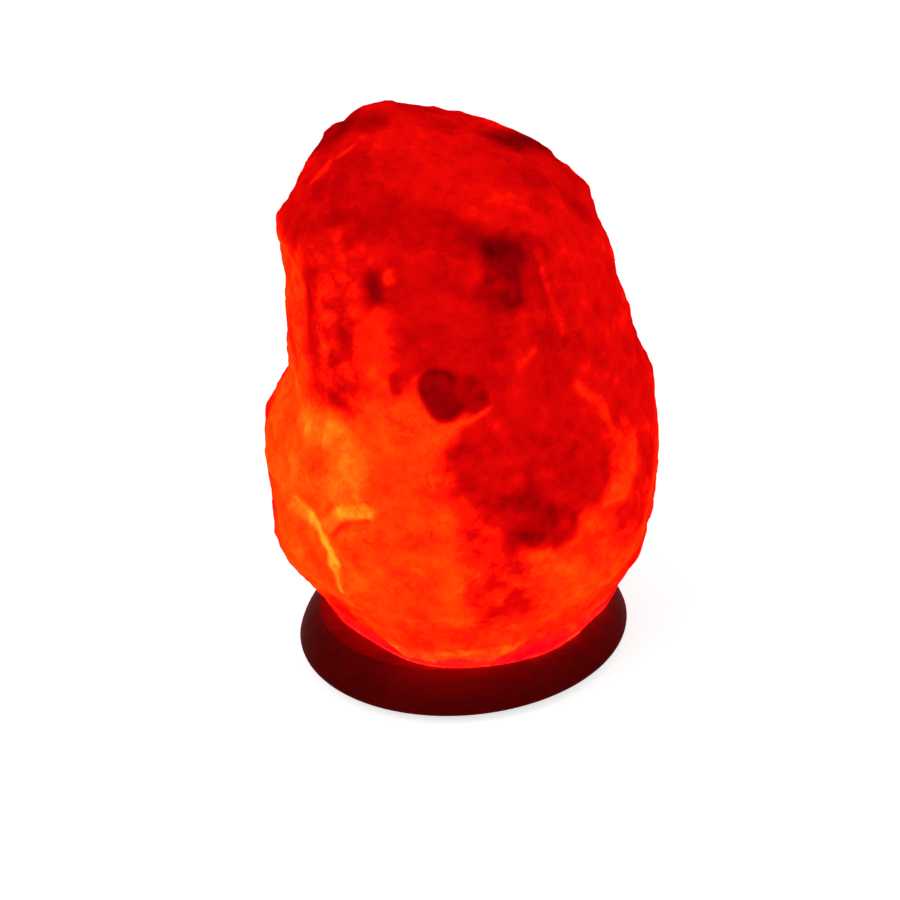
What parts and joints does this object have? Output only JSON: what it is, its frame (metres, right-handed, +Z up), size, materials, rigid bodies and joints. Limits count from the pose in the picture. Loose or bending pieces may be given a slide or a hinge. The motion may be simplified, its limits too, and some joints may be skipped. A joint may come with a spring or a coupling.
{
  "type": "salt crystal lamp",
  "caption": "Rough hollowed block of rock salt on a round turned wooden base, lit from inside by a small screw-in bulb in a sprung pull-out holder.",
  "frame": {"origin": "on the table at the turned base's axis, in the middle of the four feet", "axes": "+Z up, -Y to the front that the picture shows, +Y to the groove where the lead would leave"},
  "size_m": [0.149, 0.1489, 0.2145],
  "materials": {
    "rock_salt": "rough broken rock salt, lit from inside",
    "stained_wood": "turned wood with a dark red stain and a satin varnish",
    "rubber_foot": "matt black rubber",
    "rubber_bush": "matt black rubber",
    "screw_steel": "zinc plated",
    "anchor_plastic": "grey nylon",
    "plate_steel": "pressed and plated sheet",
    "spring_steel": "spring strip",
    "plated_steel": "plated thread",
    "holder_plastic": "moulded off-white plastic",
    "insert_ceramic": "glazed ceramic",
    "brass": "pressed brass",
    "cap_metal": "nickel plated cap",
    "dark_glass": "dark glassy ring",
    "solder": "solder bead",
    "bulb_glass": "clear blown glass",
    "wire_metal": "drawn wire",
    "filament_metal": "glowing coil"
  },
  "bodies": {
    "lamp_base": {"foot_1": "rubber_foot", "foot_2": "rubber_foot", "foot_3": "rubber_foot", "foot_4": "rubber_foot", "wood_base": "stained_wood", "cord_grommet": "rubber_bush", "fixing_screws": "screw_steel", "screw_anchors": "anchor_plastic", "salt_crystal": "rock_salt"},
    "holder": {"holder_plate": "plate_steel", "spring_clip_1": "spring_steel", "spring_clip_2": "spring_steel", "spring_clip_3": "spring_steel", "clip_rivets": "screw_steel", "holder_nipple": "plated_steel", "nipple_nut": "plated_steel", "holder_cap": "holder_plastic", "holder_body": "holder_plastic", "contact_insert": "insert_ceramic", "screw_shell": "brass", "centre_contact": "brass", "side_contact": "brass", "terminal_screws": "screw_steel"},
    "bulb_carrier": {"bulb_tip": "solder"},
    "bulb": {"bulb_cap": "cap_metal", "bulb_insulator": "dark_glass", "bulb_glass": "bulb_glass", "bulb_stem": "bulb_glass", "bulb_support_wires": "wire_metal", "bulb_filament": "filament_metal"}
  },
  "joints": [
    {"name": "holder_slide", "type": "slide", "parent": "lamp_base", "child": "holder", "axis": [0, 0, 1], "range_m": [-0.1, 0]},
    {"name": "bulb_lift", "type": "slide", "parent": "holder", "child": "bulb_carrier", "axis": [0, 0, 1], "range_m": [0, 0.0099]},
    {"name": "bulb_turn", "type": "hinge", "parent": "bulb_carrier", "child": "bulb", "pos_m": [0, 0, 0.05], "axis": [0, 0, 1], "range_deg": [0, 1260]}
  ],
  "couplings": [
    {"joint": "bulb_lift", "follows": "bulb_turn", "m_per_rad": 0.00044913}
  ]
}
